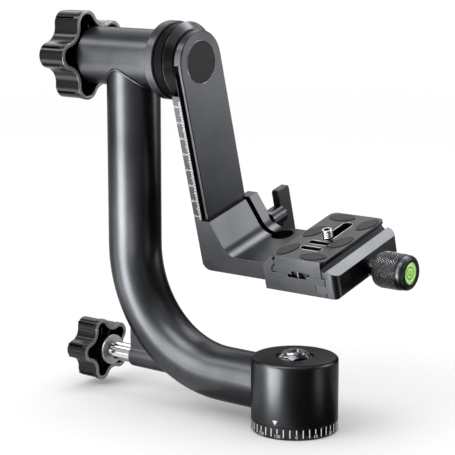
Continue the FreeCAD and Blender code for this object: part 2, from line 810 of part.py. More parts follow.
def cradle_bracket():
    width = bracket_far_y - bracket_near_y
    body = bracket_profile()
    body.translate(vec(0, bracket_near_y, 0))
    body = body.extrude(vec(0, width, 0))

    def is_back_corner(edge):
        box = edge.BoundBox
        return box.XMax < bracket_back_x + 0.01 and box.YLength > width - 0.01

    body = fillet_edges(body, bracket_back_radius, is_back_corner)
    body = body.fuse(clamp_tongue(0.0)).removeSplitter()
    top = -bracket_top_drop + 1
    low = -bracket_bottom_drop - 1
    face_gap = arm_face_x + sliding_gap
    hook_half = arm_half_width - rail_groove_depth + 2 * sliding_gap
    front_pocket = block(rail_groove_front_x - sliding_gap, face_gap, -arm_pocket_half, arm_pocket_half, low, top)
    hook_opening = block(bracket_back_x - 1, face_gap, -hook_half, hook_half, low, top)
    back_pocket = block(bracket_back_x - 1, rail_groove_back_x + sliding_gap, -arm_pocket_half, arm_pocket_half,
                        low, top)
    hole = rod_z(bracket_hole_radius, low, top, bracket_hole_x, bracket_hole_y)
    slit = block(arm_face_x, bracket_hole_x, bracket_slit_start, bracket_slit_end, low, top)
    wing_bore = rod_y(wing_screw_radius + running_gap, wing_barrel_y - wing_screw_length, bracket_far_y + 1,
                      wing_x, -wing_drop)
    body = body.cut(front_pocket.fuse([hook_opening, back_pocket]))
    body = body.cut(hole).cut(slit).cut(wing_bore)
    return body.cut(clamp_screw_set(seat_gap))


def wing_screw():
    return rod_y(wing_screw_radius, wing_barrel_y - wing_screw_length + 1,
                 wing_paddle_y + wing_paddle_width / 2, wing_x, -wing_drop)


def wing_washer():
    washer = rod_y(wing_washer_radius, wing_washer_y, wing_washer_y + wing_washer_thickness, wing_x, -wing_drop)
    return washer.cut(rod_y(wing_screw_radius + running_gap, 0, wing_barrel_y + 5, wing_x, -wing_drop))


def wing_lever():
    """T-shaped lever: round barrel and a flat paddle across its end."""
    half_t = wing_paddle_thickness / 2
    half_l = wing_paddle_length / 2
    far_y = wing_paddle_y + wing_paddle_width
    paddle = block(wing_x - half_t, wing_x + half_t, wing_paddle_y, far_y, -wing_drop - half_l, -wing_drop + half_l)

    def is_end_corner(edge):
        box = edge.BoundBox
        return box.XLength > wing_paddle_thickness - 0.01 and box.YLength < 0.01

    paddle = fillet_edges(paddle, wing_corner_radius, is_end_corner)
    paddle = paddle.makeChamfer(0.5, [edge for edge in paddle.Edges if edge.BoundBox.XLength < 0.01])
    barrel = rod_y(wing_barrel_radius, wing_barrel_y, wing_paddle_y + 2, wing_x, -wing_drop)
    lever = paddle.fuse(barrel)
    return lever.cut(rod_y(wing_screw_radius + seat_gap, 0, wing_paddle_y + wing_paddle_width / 2 + seat_gap,
                           wing_x, -wing_drop))


def clamp_spindle_bore(gap):
    return rod_x(clamp_spindle_radius + gap, jaw_outer_x - clamp_spindle_depth - 1, jaw_outer_x + 1,
                 0, -clamp_axis_drop)


def stop_pin(gap=0.0):
    y = -clamp_length / 2 + stop_pin_inset
    return rod_z(stop_pin_radius + gap, -clamp_floor_drop - 5 - gap, -clamp_floor_drop + stop_notch_depth,
                 stop_pin_x, y)


def clamp_base():
    """Bottom of the quick-release clamp, with the fixed jaw along its left side."""
    lip_x = plate_x - plate_neck_half_width - jaw_gap
    under_x = plate_x - dovetail_half_width - jaw_gap
    lip_top = fixed_jaw_top_drop + 1.8
    lip_low = dovetail_top_drop - jaw_gap / 2
    profile = [
        (clamp_left_x, clamp_bottom_drop),
        (clamp_left_x, fixed_jaw_top_drop + fixed_jaw_bevel),
        (clamp_left_x + fixed_jaw_bevel, fixed_jaw_top_drop),
        (plate_x - plate_flange_half_width - jaw_gap, fixed_jaw_top_drop),
        (lip_x, lip_top),
        (lip_x, lip_low),
        (under_x, lip_low + lip_x - under_x),
        (under_x, clamp_floor_drop),
        (clamp_right_x, clamp_floor_drop),
        (clamp_right_x, tongue_top_drop - sliding_gap),
        (clamp_right_x - tongue_depth, tongue_top_drop - sliding_gap),
        (clamp_right_x - tongue_depth, tongue_top_drop + tongue_height + sliding_gap),
        (clamp_right_x, tongue_top_drop + tongue_height + sliding_gap),
        (clamp_right_x, clamp_bottom_drop),
    ]
    half = clamp_length / 2
    base = prism_y(profile, -half, half)
    base = base.cut(clamp_tongue(seat_gap)).cut(clamp_screw_set(seat_gap))
    notch = block(stop_pin_x - stop_notch_width / 2, stop_pin_x + stop_notch_width / 2, -half - 1,
                  -half + stop_notch_length, -clamp_floor_drop - stop_notch_depth, -clamp_floor_drop + 1)
    return base.cut(notch).cut(stop_pin(seat_gap)).cut(clamp_spindle_bore(running_gap))


def movable_jaw():
    """Right jaw, with a lip over the dovetail and a tongue that slides in the base."""
    lip_x = plate_x + plate_neck_half_width + 2 * jaw_gap
    under_x = plate_x + dovetail_half_width + jaw_gap
    lip_low = dovetail_top_drop
    bevel_x = jaw_outer_x - jaw_strip_width
    nose_drop = jaw_top_drop + 1.4
    nose_x = lip_x + nose_drop - lip_low
    profile = [
        (jaw_outer_x - jaw_bottom_chamfer, clamp_bottom_drop),
        (jaw_outer_x, clamp_bottom_drop - jaw_bottom_chamfer),
        (jaw_outer_x, jaw_top_drop + jaw_strip_fall),
        (bevel_x, jaw_top_drop),
        (nose_x, nose_drop),
        (under_x, lip_low + under_x - lip_x),
        (under_x, plate_bottom_drop),
        (jaw_inner_x, plate_bottom_drop),
        (jaw_inner_x, tongue_top_drop),
        (jaw_inner_x - tongue_depth, tongue_top_drop),
        (jaw_inner_x - tongue_depth, tongue_top_drop + tongue_height),
        (jaw_inner_x, tongue_top_drop + tongue_height),
        (jaw_inner_x, clamp_bottom_drop),
    ]
    half = clamp_length / 2
    jaw = prism_y(profile, -half, half)

    def is_outer_corner(edge):
        box = edge.BoundBox
        return box.XMin > jaw_outer_x - 0.01 and box.YLength < 0.01

    jaw = fillet_edges(jaw, jaw_corner_radius, is_outer_corner)
    return jaw.cut(clamp_spindle_bore(running_gap))


def clamp_spindle():
    screw = rod_x(clamp_spindle_radius, jaw_outer_x - clamp_spindle_depth, clamp_knob_x + 6, 0, -clamp_axis_drop)
    collar = rod_x(clamp_collar_radius, jaw_outer_x + running_gap, clamp_knob_x - seat_gap, 0, -clamp_axis_drop)
    return screw.fuse(collar).removeSplitter()


def clamp_knob():
    end_x = clamp_knob_x + clamp_knob_length
    groove_x = end_x - 4.2
    profile = [
        (clamp_knob_x, 0),
        (clamp_knob_x, clamp_knob_radius - 1.6 * clamp_knob_edge),
        (clamp_knob_x + clamp_knob_edge, clamp_knob_radius - 0.3),
        (clamp_knob_x + 2 * clamp_knob_edge, clamp_knob_radius),
        (groove_x, clamp_knob_radius),
        (groove_x, clamp_knob_radius - clamp_knob_groove),
        (groove_x + 0.8, clamp_knob_radius - clamp_knob_groove),
        (groove_x + 0.8, clamp_knob_radius),
        (end_x - 1.6, clamp_knob_radius),
        (end_x - 0.5, clamp_knob_radius - 0.5),
        (end_x, clamp_knob_radius - 1.4),
        (end_x, 0),
    ]
    knob = turned_x(profile)
    knob = knob.cut(rod_x(level_radius + seat_gap, end_x - level_depth, end_x + 1))
    knob = knob.cut(rod_x(level_bezel_radius + seat_gap, end_x - level_bezel_height, end_x + 1))
    knob = knob.cut(rod_x(clamp_spindle_radius + seat_gap, clamp_knob_x - 1, clamp_knob_x + 6 + seat_gap))
    knob.translate(vec(0, 0, -clamp_axis_drop))
    return knob


def level_vial():
    end_x = clamp_knob_x + clamp_knob_length
    return rod_x(level_radius, end_x - level_depth + seat_gap, end_x - level_bezel_height / 2, 0, -clamp_axis_drop)


def level_bezel():
    end_x = clamp_knob_x + clamp_knob_length
    ring = rod_x(level_bezel_radius, end_x - level_bezel_height + seat_gap, end_x + level_bezel_proud,
                 0, -clamp_axis_drop)
    outer = [edge for edge in ring.Edges if edge.BoundBox.XMin > end_x + level_bezel_proud - 0.01]
    ring = ring.makeChamfer(0.3, outer)
    return ring.cut(rod_x(level_radius + seat_gap, end_x - 5, end_x + 5, 0, -clamp_axis_drop))


# Quick-release plate

def plate_section(y0, y1):
    flange_low = plate_top_drop + plate_flange_height
    right = [
        (plate_flange_half_width, plate_top_drop),
        (plate_flange_half_width, flange_low),
        (plate_neck_half_width, flange_low),
        (plate_neck_half_width, dovetail_top_drop),
        (dovetail_half_width, dovetail_edge_drop),
        (dovetail_half_width, plate_bottom_drop),
    ]
    left = [(-x, drop) for x, drop in reversed(right)]
    return prism_y([(plate_x + x, drop) for x, drop in right + left], y0, y1)


def leaf(length, width, depth, turn, x, y, z):
    """Leaf outline of two arcs that meet in a rounded tip at each end."""
    tip = length / 2
    side = width / 2
    first = Part.Arc(vec(-tip, 0, z), vec(0, side, z), vec(tip, 0, z)).toShape()
    second = Part.Arc(vec(tip, 0, z), vec(0, -side, z), vec(-tip, 0, z)).toShape()
    solid = Part.Face(Part.Wire([first, second])).extrude(vec(0, 0, depth))
    solid = fillet_edges(solid, pad_tip_radius, lambda edge: edge.BoundBox.ZLength > depth - 0.01)
    solid.rotate(vec(0, 0, 0), vec(0, 0, 1), turn)
    solid.translate(vec(x, y, 0))
    return solid


def pad_set(gap=0.0):
    """Six pads: each of the three places and its opposite through the plate's centre."""
    low = -plate_top_drop + pad_proud - pad_thickness
    pads = []
    for x, y, turn in pad_places:
        for sign in (-1, 1):
            pads.append(leaf(pad_length + 2 * gap, pad_width + 2 * gap, pad_thickness + gap, turn,
                             plate_x + sign * x, sign * y, low - gap))
    return Part.makeCompound(pads)


def quick_release_plate():
    half = plate_length / 2
    plate = plate_section(-half + end_cap_setback, half)
    cap_half = plate_neck_half_width + 0.3
    cap = block(plate_x - cap_half, plate_x + cap_half, -half, -half + end_cap_length,
                -plate_bottom_drop, -plate_top_drop)
    flange = block(plate_x - plate_flange_half_width, plate_x + plate_flange_half_width, -half, half,
                   -plate_top_drop - plate_flange_height, -plate_top_drop)
    plate = plate.fuse([cap, flange]).removeSplitter()

    corner_box = block(plate_x - plate_flange_half_width, plate_x + plate_flange_half_width, -half, half,
                       -plate_top_drop - plate_flange_height - 0.5, -plate_top_drop + 0.5)
    rounded = fillet_edges(corner_box, plate_corner_radius, lambda edge: edge.BoundBox.ZLength > 1)
    plate = plate.cut(corner_box.cut(rounded))
    slot_length = long_slot_end - long_slot_start
    top = -plate_top_drop + 1
    low = -plate_bottom_drop - 1
    plate = plate.cut(slot_z(slot_length, long_slot_width, low, top, slot_x, slot_middle_y, True))
    for place in strap_slot_places:
        plate = plate.cut(slot_z(strap_slot_length, strap_slot_width, low, top, plate_x, place, False))
    pocket_length = slot_length - long_slot_width + underside_groove_width
    plate = plate.cut(slot_z(pocket_length, underside_groove_width, low, -camera_pocket_drop, slot_x,
                             slot_middle_y, True))
    groove = block(slot_x - underside_groove_width / 2, slot_x + underside_groove_width / 2, -half - 1,
                   slot_middle_y, low, -plate_bottom_drop + underside_groove_depth)
    plate = plate.cut(groove)
    return plate.cut(pad_set(seat_gap))


def camera_clip():
    """Ring under the plate that rides along the slot and carries the screw's head."""
    low = -camera_pocket_drop - running_gap - camera_clip_thickness
    ring = rod_z(camera_head_radius, low, low + camera_clip_thickness, slot_x, camera_screw_y)
    return ring.cut(rod_z(camera_shank_radius + running_gap, low - 1, low + 2, slot_x, camera_screw_y))


def camera_screw():
    """Head below the plate, a thin shank through the slot and the thread above it."""
    top = -plate_top_drop + camera_thread_length
    thread_low = -plate_top_drop + camera_shank_rise
    head_top = -camera_head_drop
    head_low = head_top - camera_head_height
    head = rod_z(camera_head_radius, head_low, head_top, slot_x, camera_screw_y)
    shank = rod_z(camera_shank_radius, head_top, thread_low, slot_x, camera_screw_y)
    thread = rod_z(camera_thread_radius, thread_low, top, slot_x, camera_screw_y)
    thread = thread.makeChamfer(0.4, [edge for edge in thread.Edges if edge.BoundBox.ZMin > top - 0.01])
    screw = head.fuse([shank, thread])
    socket = hexagon_z(camera_socket_flats, top - camera_socket_depth, top + 1, slot_x, camera_screw_y)
    coin_slot = block(slot_x - camera_head_radius, slot_x + camera_head_radius, camera_screw_y - 0.8,
                      camera_screw_y + 0.8, head_low - 1, head_low + 1.4)
    return screw.cut(socket).cut(coin_slot)


def still_parts():
    return {
        "base_plate": base_plate(),
        "base_screws": base_screw_set(),
        "pan_spindle": pan_spindle(),
        "pan_thrust_washer": thrust_washer(),
        "pan_washer": pan_washer(),
        "pan_nut": pan_nut(),
        "pan_housing": pan_housing(),
        "pan_bush": pan_bush(),
        "arm_tube": arm_tube(),
        "pan_lock_boss": pan_lock_boss(),
        "tilt_barrel": tilt_barrel(),
        "tilt_bush_outer": tilt_bush(barrel_end_x + 2),
        "tilt_bush_inner": tilt_bush(collar_face_x - tilt_bush_length),
        "friction_ring": friction_ring(),
        "pan_brake_rod": pan_brake_rod(),
        "pan_brake_pad": pan_brake_pad(),
        "pan_lock_screw": pan_lock_screw(),
        "pan_lock_washer": pan_lock_washer(),
        "pan_lock_knob": pan_knob(),
        "tilt_lock_knob": tilt_knob(),
        "tilt_knob_insert": tilt_knob_insert(),
        "tilt_thrust_washer": tilt_thrust_washer(),
    }


def swinging_parts():
    return {
        "tilt_shaft": tilt_shaft(),
        "tilt_hub": tilt_hub(),
        "hub_screws": hub_screw_set(),
        "swing_arm": swing_arm(),
        "hub_cap": hub_cap(),
        "cradle_bracket": cradle_bracket(),
        "clamp_base": clamp_base(),
        "clamp_screws": clamp_screw_set(),
        "plate_stop_pin": stop_pin(),
        "wing_screw": wing_screw(),
        "wing_washer": wing_washer(),
        "wing_lever": wing_lever(),
        "movable_jaw": movable_jaw(),
        "clamp_spindle": clamp_spindle(),
        "clamp_knob": clamp_knob(),
        "level_vial": level_vial(),
        "level_bezel": level_bezel(),
        "quick_release_plate": quick_release_plate(),
        "plate_pads": pad_set(),
        "camera_clip": camera_clip(),
        "camera_screw": camera_screw(),
    }


parts = still_parts()
for node, shape in swinging_parts().items():
    parts[node] = placed_on_swing(shape)

os.makedirs("parts", exist_ok=True)
for node, shape in parts.items():
    shape.exportStep("parts/" + node + ".step")
    solids = shape.Solids
    print(node, len(solids), round(sum(solid.Volume for solid in solids), 1), shape.isValid())
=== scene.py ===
import math

import bpy
import numpy as np
from mathutils import Matrix, Vector


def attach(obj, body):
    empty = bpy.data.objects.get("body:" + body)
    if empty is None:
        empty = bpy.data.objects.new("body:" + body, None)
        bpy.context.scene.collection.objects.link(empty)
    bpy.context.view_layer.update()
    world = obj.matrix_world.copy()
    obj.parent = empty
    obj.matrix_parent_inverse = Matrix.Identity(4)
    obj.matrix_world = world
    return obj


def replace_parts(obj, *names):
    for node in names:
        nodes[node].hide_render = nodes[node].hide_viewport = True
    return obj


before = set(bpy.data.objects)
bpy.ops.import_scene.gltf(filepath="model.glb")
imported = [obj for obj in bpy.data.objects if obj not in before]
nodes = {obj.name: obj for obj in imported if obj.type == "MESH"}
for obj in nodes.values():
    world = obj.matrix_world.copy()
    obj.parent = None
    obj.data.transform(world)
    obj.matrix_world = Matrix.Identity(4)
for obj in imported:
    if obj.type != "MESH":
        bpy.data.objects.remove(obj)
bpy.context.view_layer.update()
print("frame loaded:", len(nodes), "nodes")

mm = 0.001
# height of the tilt axis in millimetres, and how far the arm hangs out of plumb
tiltAxisZ = 209.4
restTilt = math.radians(15)


def linear(hexColour):
    # sRGB hex to linear: the lower part of the curve is a straight line, the rest a power of 2.4
    value = hexColour.lstrip("#")
    channels = np.array([int(value[i:i + 2], 16) for i in (0, 2, 4)]) / 255
    low = channels / 12.92
    high = ((channels + 0.055) / 1.055) ** 2.4
    return (*np.where(channels <= 0.04045, low, high), 1.0)


def addNode(tree, kind, links=None, **settings):
    # adds one node, sets its properties or inputs and links sockets into it; #1 and input1 are its second input
    node = tree.nodes.new(kind)
    for name, value in settings.items():
        if hasattr(node, name):
            setattr(node, name, value)
        elif name.startswith("input"):
            node.inputs[int(name[5:])].default_value = value
        else:
            node.inputs[name.replace("_", " ")].default_value = value
    for name, socket in (links or {}).items():
        key = int(name[1:]) if name[0] == "#" else name
        tree.links.new(socket, node.inputs[key])
    return node


def newMaterial(name):
    material = bpy.data.materials.new(name)
    material.use_nodes = True
    material.node_tree.nodes.clear()
    return material, material.node_tree


def finishMaterial(tree, shader):
    addNode(tree, "ShaderNodeOutputMaterial", {"Surface": shader.outputs[0]})


def noiseAt(tree, sizeMm, detail, roughness=0.5):
    # noise in object coordinates, its blots about that many millimetres across
    place = addNode(tree, "ShaderNodeTexCoord")
    noise = addNode(tree, "ShaderNodeTexNoise", {"Vector": place.outputs["Object"]},
                    Scale=1 / (sizeMm * mm), Detail=detail, Roughness=roughness)
    return noise.outputs["Fac"]


def twoColours(tree, factor, dark, light, low=0.0, high=1.0):
    # from one colour to the other between two values of the factor
    ramp = addNode(tree, "ShaderNodeValToRGB", {"Fac": factor})
    for stop, position, colour in zip(ramp.color_ramp.elements, (low, high), (dark, light)):
        stop.position = position
        stop.color = linear(colour)
    return ramp.outputs["Color"]


# Finishes

grain = dict(detail=3.0, roughness=0.6, cloudMm=30, liftMm=0.02, colourLow=0.35, colourHigh=0.65,
             roughLow=0.3, roughHigh=0.7, edgeSamples=6)


def grainedFinish(name, dark, light, roughness, grainMm, bump, metallic=1.0, roughSpread=0.06, gloss=0.5,
                  edge=0.35, grazing=1.0):
    # a fine grain and a broad cloud shift colour and roughness a little, and the grain lifts the surface by a few
    # thousandths of a millimetre. gloss is the mirroring of what isn't metal, grazing the share of it that is left
    # at flat angles, and edge the width in millimetres over which a sharp edge is shaded as if rounded
    material, tree = newMaterial(name)
    fine = noiseAt(tree, grainMm, grain["detail"], grain["roughness"])
    cloud = noiseAt(tree, grain["cloudMm"], 2.0)
    both = addNode(tree, "ShaderNodeMath", {"#0": fine, "#1": cloud}, operation="ADD")
    mottle = addNode(tree, "ShaderNodeMath", {"#0": both.outputs[0]}, operation="MULTIPLY", input1=0.5)
    colour = twoColours(tree, mottle.outputs[0], dark, light, grain["colourLow"], grain["colourHigh"])
    rough = addNode(tree, "ShaderNodeMapRange", {"Value": mottle.outputs[0]},
                    From_Min=grain["roughLow"], From_Max=grain["roughHigh"],
                    To_Min=roughness - roughSpread / 2, To_Max=roughness + roughSpread / 2)
    rounded = addNode(tree, "ShaderNodeBevel", samples=grain["edgeSamples"], Radius=edge * mm)
    relief = addNode(tree, "ShaderNodeBump", {"Height": fine, "Normal": rounded.outputs[0]},
                     Strength=bump, Distance=grain["liftMm"] * mm)
    shader = addNode(tree, "ShaderNodeBsdfPrincipled",
                     {"Base Color": colour, "Roughness": rough.outputs["Result"],
                      "Normal": relief.outputs["Normal"]},
                     Metallic=metallic, Specular_IOR_Level=gloss, Specular_Tint=(grazing, grazing, grazing, 1))
    finishMaterial(tree, shader)
    return material


finishes = {
    # bead-blasted and dyed black: an even satin with broad soft highlights
    "satinAnodised": dict(dark="#2c2d2f", light="#3e3f41", roughness=0.32, grainMm=0.5, bump=0.5, grazing=0.62),
    # the movable jaw is blasted finer and dyed a little lighter
    "fineAnodised": dict(dark="#333436", light="#454648", roughness=0.32, grainMm=0.45, bump=0.4, grazing=0.62),
    # turned rings, dyed black, with fine cutter's marks left in them
    "turnedAnodised": dict(dark="#313234", light="#3a3b3d", roughness=0.27, grainMm=0.15, bump=0.15),
    # moulded nylon, smooth and black
    "mouldedNylon": dict(dark="#09090a", light="#0e0e0f", roughness=0.2, grainMm=0.5, bump=0.0, metallic=0.0,
                         gloss=0.14, edge=0.12, roughSpread=0.02),
    # painted shade: near-black strips standing for the shade in the narrow slits between the mould's cores
    "paintedSlitShade": dict(dark="#030303", light="#050505", roughness=0.8, grainMm=0.5, bump=0.0, metallic=0.0,
                      gloss=0.0),
    # the knob's rounded rim, in light grey as a painted highlight along it
    "rimHighlight": dict(dark="#666667", light="#727273", roughness=0.25, grainMm=0.35, bump=0.1, metallic=0.0,
                    gloss=0.7),
    # hard black slip lining between collar and hub, with almost no gloss: its own black plus painted shade of the
    # recess it sits in
    "blackLiningAndShade": dict(dark="#080809", light="#0e0e0f", roughness=0.45, grainMm=0.3, bump=0.2, metallic=0.0,
                        gloss=0.02),
    # blackened steel, a touch glossier than the anodising
    "blackenedSteel": dict(dark="#2a2b2d", light="#333436", roughness=0.22, grainMm=0.2, bump=0.1),
    # polished and black plated
    "blackChrome": dict(dark="#86878a", light="#929396", roughness=0.22, grainMm=0.3, bump=0.05),
    # polished chromium over steel
    "polishedChrome": dict(dark="#a3a4a6", light="#b2b3b5", roughness=0.08, grainMm=0.3, bump=0.03),
    # zinc plating: a speckled grey
    "zincPlate": dict(dark="#848586", light="#bbbcbd", roughness=0.38, grainMm=0.45, bump=0.6, roughSpread=0.2),
    # turned stainless steel
    "turnedSteel": dict(dark="#8a8987", light="#9c9b99", roughness=0.14, grainMm=0.2, bump=0.05, edge=0.05),
    # bearing bronze
    "bronze": dict(dark="#8c6c3c", light="#a98450", roughness=0.35, grainMm=0.3, bump=0.3),
    # moulded rubber, dull
    "mouldedRubber": dict(dark="#0e0e0f", light="#141415", roughness=0.7, grainMm=0.3, bump=0.6, metallic=0.0,
                          gloss=0.2),
    # dyed plastic disc, quite matt
    "mattDisc": dict(dark="#161617", light="#1b1b1c", roughness=0.5, grainMm=0.3, bump=0.1, metallic=0.0,
                     gloss=0.15),
    # painted highlight: light grey on small rounded edges, where light catches them
    "edgeHighlight": dict(dark="#606163", light="#707173", roughness=0.28, grainMm=0.2, bump=0.1),
    # dark green print on the level's window
    "levelInk": dict(dark="#2c4716", light="#36541c", roughness=0.4, grainMm=0.4, bump=0.05, metallic=0.0),
    # white slip plastic
    "slipPlastic": dict(dark="#c9c9c2", light="#d8d8d2", roughness=0.45, grainMm=0.4, bump=0.1, metallic=0.0),
}
materials = {name: grainedFinish(name, **values) for name, values in finishes.items()}


def printedInk():
    # white pad-printed ink: nearly even, a little thinner in places
    material, tree = newMaterial("printedInk")
    colour = twoColours(tree, noiseAt(tree, 0.6, 2.0), "#cfcfcf", "#f2f2f0")
    shader = addNode(tree, "ShaderNodeBsdfPrincipled", {"Base Color": colour}, Roughness=0.5)
    finishMaterial(tree, shader)
    return material


def knurledAnodised():
    # dyed black like the rest, with a painted highlight on the knurl's tips and painted shade in its grooves,
    # broken up by noise: the tip attribute is 0 in a groove, 1 on top
    material, tree = newMaterial("knurledAnodised")
    tip = addNode(tree, "ShaderNodeAttribute", attribute_name="tip")
    tipHighlight = addNode(tree, "ShaderNodeMath", {"#0": tip.outputs["Fac"], "#1": noiseAt(tree, 1.5, 2.0)},
                   operation="MULTIPLY")
    colour = twoColours(tree, tipHighlight.outputs[0], "#161617", "#8e8f91", 0.1, 0.42)
    shader = addNode(tree, "ShaderNodeBsdfPrincipled", {"Base Color": colour}, Metallic=1.0, Roughness=0.3)
    finishMaterial(tree, shader)
    return material


def levelFluid():
    # green spirit under a clear acrylic window, with a faint painted glow in its own colour
    material, tree = newMaterial("levelFluid")
    colour = twoColours(tree, noiseAt(tree, 4, 1.0), "#aae472", "#cbf5a2", 0.3, 0.7)
    shader = addNode(tree, "ShaderNodeBsdfPrincipled", {"Base Color": colour, "Emission Color": colour},
                     Roughness=0.12, Coat_Weight=1.0, Coat_Roughness=0.04, Emission_Strength=0.12)
    finishMaterial(tree, shader)
    return material


materials["printedInk"] = printedInk()
materials["levelFluid"] = levelFluid()
materials["knurledAnodised"] = knurledAnodised()
print("finishes made:", len(materials))

nodeFinish = {
    "satinAnodised": ("arm_tube", "pan_housing", "tilt_barrel", "pan_lock_boss", "swing_arm", "cradle_bracket",
                      "clamp_base", "quick_release_plate", "wing_lever", "clamp_knob"),
    "mattDisc": ("hub_cap",),
    "turnedAnodised": ("base_plate", "tilt_hub", "level_bezel"),
    "blackLiningAndShade": ("friction_ring",),
    "fineAnodised": ("movable_jaw",),
    "mouldedNylon": ("tilt_lock_knob", "pan_lock_knob"),
    "blackenedSteel": ("pan_washer", "base_screws", "hub_screws", "clamp_screws", "wing_screw", "wing_washer",
                       "clamp_spindle"),
    "blackChrome": ("pan_nut",),
    "polishedChrome": ("pan_lock_screw",),
    "zincPlate": ("pan_lock_washer", "tilt_thrust_washer"),
    "turnedSteel": ("camera_screw", "camera_clip", "plate_stop_pin", "pan_spindle", "tilt_shaft",
                    "pan_brake_rod"),
    "bronze": ("pan_bush", "tilt_bush_outer", "tilt_bush_inner", "tilt_knob_insert", "pan_brake_pad"),
    "slipPlastic": ("pan_thrust_washer",),
    "mouldedRubber": ("plate_pads",),
    "levelFluid": ("level_vial",),
}


def smoothGroup():
    # joins the loose triangles and shades them smooth, save across edges sharper than 30 degrees
    group = bpy.data.node_groups.new("smoothByAngle", "GeometryNodeTree")
    for direction in ("INPUT", "OUTPUT"):
        group.interface.new_socket("Geometry", in_out=direction, socket_type="NodeSocketGeometry")
    start = addNode(group, "NodeGroupInput")
    merged = addNode(group, "GeometryNodeMergeByDistance", {"Geometry": start.outputs[0]}, Distance=0.002 * mm)
    faces = addNode(group, "GeometryNodeSetShadeSmooth", {"Geometry": merged.outputs[0]})
    angle = addNode(group, "GeometryNodeInputMeshEdgeAngle")
    gentle = addNode(group, "ShaderNodeMath", {"#0": angle.outputs["Unsigned Angle"]}, operation="LESS_THAN",
                     input1=math.radians(30))
    edges = addNode(group, "GeometryNodeSetShadeSmooth",
                    {"Geometry": faces.outputs[0], "Shade Smooth": gentle.outputs[0]}, domain="EDGE")
    addNode(group, "NodeGroupOutput", {"#0": edges.outputs[0]})
    return group


smoothing = smoothGroup()


def shadeSmooth(piece):
    shading = piece.modifiers.new("smoothByAngle", "NODES")
    shading.node_group = smoothing


for finish, names in nodeFinish.items():
    for name in names:
        body = nodes[name]
        body.data.materials.clear()
        body.data.materials.append(materials[finish])
        shadeSmooth(body)
print("finishes given to the frame's nodes")


# Surfaces

def grid(points, closeU=False, closeV=False):
    # corner points of a grid, rows along u and columns along v, and the quads between them
    rows, columns = points.shape[:2]
    uCount = rows if closeU else rows - 1
    vCount = columns if closeV else columns - 1
    u, v = np.meshgrid(np.arange(uCount), np.arange(vCount), indexing="ij")
    nextU = (u + 1) % rows
    nextV = (v + 1) % columns
    quads = np.stack([u * columns + v, nextU * columns + v, nextU * columns + nextV, u * columns + nextV], -1)
    return points.reshape(-1, 3), quads.reshape(-1, 4).tolist()


def meshFrom(name, points, faces):
    # millimetre points into a mesh in metres, each face given by its corners' numbers
    mesh = bpy.data.meshes.new(name)
    mesh.from_pydata(np.asarray(points, float) * mm, [], faces)
    mesh.update()
    return mesh


def addPiece(name, mesh, finish, body):
    mesh.materials.append(materials[finish])
    piece = bpy.data.objects.new(name, mesh)
    bpy.context.scene.collection.objects.link(piece)
    shadeSmooth(piece)
    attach(piece, body)
    return piece


def onSwing(points):
    # from the hanging arm's own axes to the frame's: turned by the rest tilt, then lifted to the tilt axis
    x, y, z = points[..., 0], points[..., 1], points[..., 2]
    c, s = math.cos(restTilt), math.sin(restTilt)
    return np.stack([x, y * c - z * s, y * s + z * c + tiltAxisZ], -1)


def aroundX(along, radius, angle, height):
    # a point at that place along X, at that radius and angle about an axis at that height
    return np.stack([along, radius * np.cos(angle), height + radius * np.sin(angle)], -1)


def turned(stations, angles, pitch, depth, span):
    # rows of a turned piece: each station's radius, less a groove inside the threaded span, whose depth is a
    # triangle wave of the place along the axis that moves on by one pitch a turn
    along = stations[:, 0][:, None] + 0 * angles[None, :]
    radius = stations[:, 1][:, None] + 0 * angles[None, :]
    phase = (along / pitch - angles[None, :] / (2 * np.pi)) % 1
    groove = 1 - np.abs(2 * phase - 1)
    threaded = (along > span[0]) & (along < span[1])
    return along, np.where(threaded, radius - depth * groove, radius)


def refined(corners, span, step):
    # the corners of a turned outline, with even stations added where the thread is cut
    corners = np.array(corners, float)
    rows = [corners[0]]
    for start, end in zip(corners[:-1], corners[1:]):
        low, high = sorted((start[0], end[0]))
        cut = low < span[1] and high > span[0] and high - low > step
        count = int((high - low) / step) if cut else 1
        rows.extend(start + (end - start) * (k + 1) / count for k in range(count))
    return np.array(rows)


def bead(path, across, radius, flatten=1.0, sides=10):
    # a rounded ridge along a closed path: at each point a circle of that radius in the plane of the given
    # across direction and of the direction square to both it and the path, squashed along the former
    ahead = np.roll(path, -1, 0) - np.roll(path, 1, 0)
    ahead /= np.linalg.norm(ahead, axis=1)[:, None]
    across = across - (across * ahead).sum(1)[:, None] * ahead
    across /= np.linalg.norm(across, axis=1)[:, None]
    out = np.cross(ahead, across)
    angle = np.arange(sides) * 2 * np.pi / sides
    level = across[:, None, :] * np.cos(angle)[None, :, None] * flatten
    outward = out[:, None, :] * np.sin(angle)[None, :, None]
    return path[:, None, :] + radius * (level + outward)


def letters(text, height):
    # the outline of some figures as flat triangles, as wide as they come, centred on their own middle
    curve = bpy.data.curves.new("figures", "FONT")
    curve.body = text
    curve.align_x = "CENTER"
    curve.resolution_u = 2
    holder = bpy.data.objects.new("figures", curve)
    bpy.context.scene.collection.objects.link(holder)
    bpy.context.view_layer.update()
    flat = bpy.data.meshes.new_from_object(holder.evaluated_get(bpy.context.evaluated_depsgraph_get()))
    corners = np.zeros(len(flat.vertices) * 3)
    flat.vertices.foreach_get("co", corners)
    corners = corners.reshape(-1, 3)[:, :2]
    flat.calc_loop_triangles()
    faces = np.zeros(len(flat.loop_triangles) * 3, int)
    flat.loop_triangles.foreach_get("vertices", faces)
    bpy.data.objects.remove(holder)
    bpy.data.curves.remove(curve)
    bpy.data.meshes.remove(flat)
    scale = height / (corners[:, 1].max() - corners[:, 1].min())
    corners[:, 1] -= (corners[:, 1].max() + corners[:, 1].min()) / 2
    return corners * scale, faces.reshape(-1, 3)


